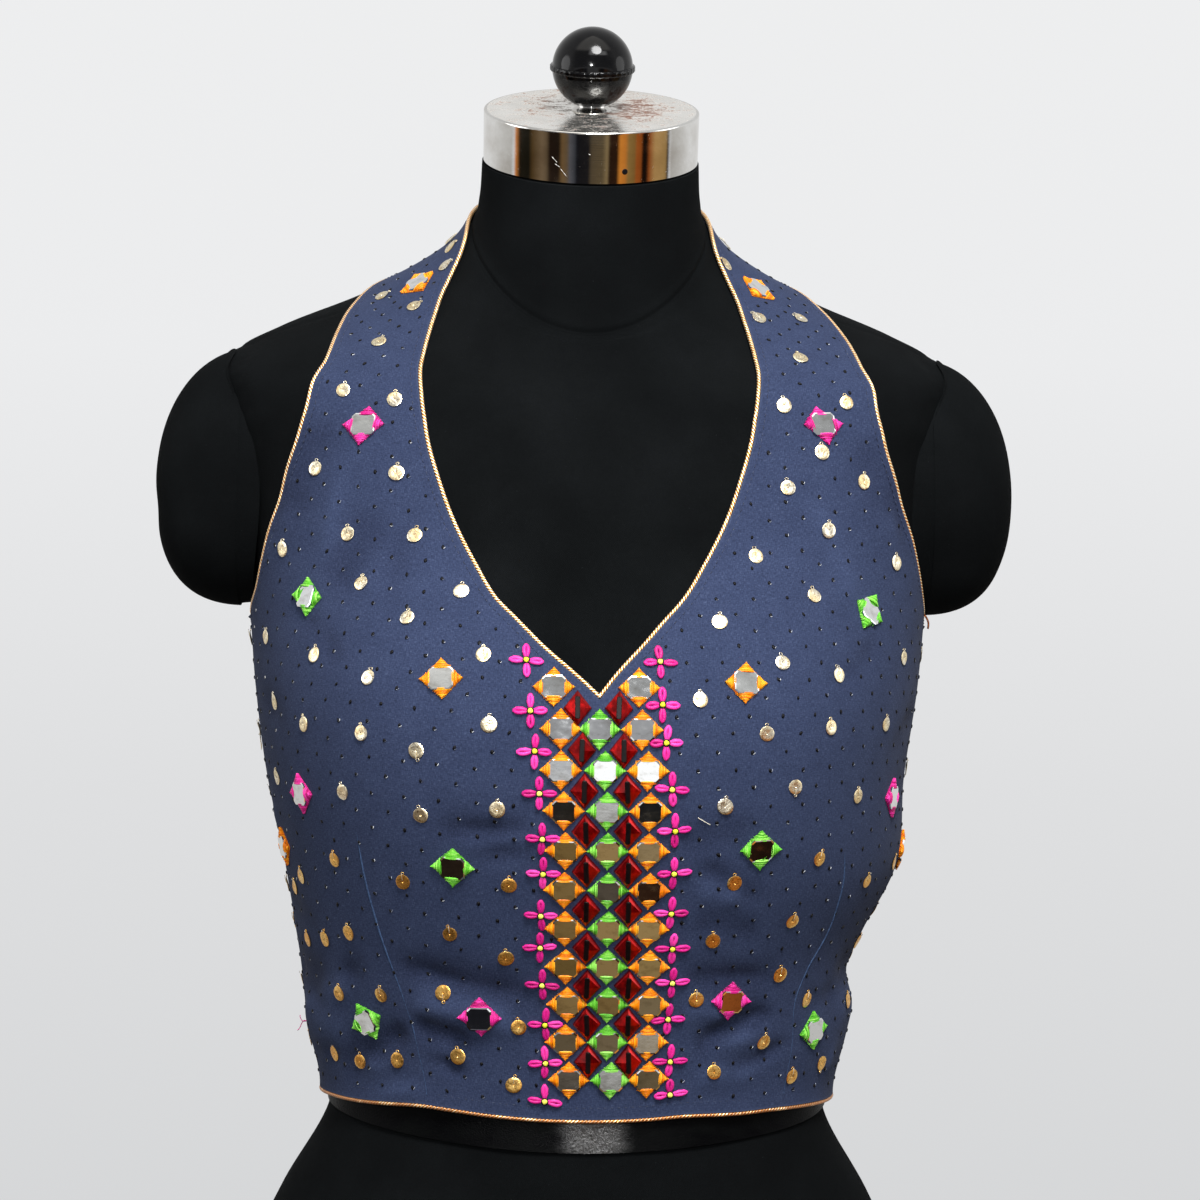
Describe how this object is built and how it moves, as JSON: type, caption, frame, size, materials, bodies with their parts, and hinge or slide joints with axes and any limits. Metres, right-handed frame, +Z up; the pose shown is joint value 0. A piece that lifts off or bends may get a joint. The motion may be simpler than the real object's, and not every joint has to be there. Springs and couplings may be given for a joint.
{
  "type": "choli blouse on a limbless dress form",
  "caption": "Cropped halter choli blouse with a V neck, corded edges, a centre band of mirror work and scattered mirrors, worn on a limbless black dress form with a metal cap and ball knob.",
  "frame": {"origin": "on the surface that the form stands on, under the axis of its neck and torso", "axes": "+Z up, the blouse's front faces -Y, +X is to the viewer's right when facing the front"},
  "size_m": [0.4028, 0.2577, 0.7243],
  "materials": {
    "chambray": "matt woven cotton",
    "gold_piping": "metallic twisted cord",
    "mirror_work": "satin stitch round mirrors, with red stones between",
    "orange_stitch": "satin stitch round a mirror",
    "green_stitch": "satin stitch round a mirror",
    "magenta_stitch": "satin stitch round a mirror",
    "jersey": "fine ribbed knit, matt",
    "gloss_tape": "glossy",
    "chrome": "polished, the top worn",
    "gloss_black": "glossy",
    "mirror_glass": "small cut mirrors",
    "red_stone": "faceted resin stones",
    "gold_sequin": "hammered sequins"
  },
  "bodies": {
    "root": {"front": "chambray", "back_left": "chambray", "back_right": "chambray", "mirror_band": "mirror_work", "form_body": "jersey", "form_neck": "jersey", "waist_band": "gloss_tape", "arm_cap_left": "jersey", "arm_cap_right": "jersey", "neck_cap": "chrome", "knob": "gloss_black", "piping_neckline": "gold_piping", "piping_hem_front": "gold_piping", "piping_armhole_left": "gold_piping", "piping_armhole_right": "gold_piping", "piping_back_left": "gold_piping", "piping_back_right": "gold_piping", "piping_hem_back_left": "gold_piping", "piping_hem_back_right": "gold_piping", "mirror_strap_left": "orange_stitch", "mirror_strap_right": "orange_stitch", "mirror_chest_left": "magenta_stitch", "mirror_chest_right": "magenta_stitch", "mirror_arm_left": "green_stitch", "mirror_arm_right": "green_stitch", "mirror_bust_left": "orange_stitch", "mirror_bust_right": "orange_stitch", "mirror_side_left": "magenta_stitch", "mirror_side_right": "magenta_stitch", "mirror_edge_left": "orange_stitch", "mirror_edge_right": "orange_stitch", "mirror_rib_left": "green_stitch", "mirror_rib_right": "green_stitch", "mirror_waist_left": "magenta_stitch", "mirror_waist_right": "magenta_stitch", "mirror_hem_left": "green_stitch", "mirror_hem_right": "green_stitch", "mirror_back_orange_left": "orange_stitch", "mirror_back_orange_right": "orange_stitch", "mirror_back_green_left": "green_stitch", "mirror_back_green_right": "green_stitch", "mirror_back_magenta_left": "magenta_stitch", "mirror_back_magenta_right": "magenta_stitch", "mirror_back_low_left": "orange_stitch", "mirror_back_low_right": "orange_stitch"}
  },
  "joints": []
}
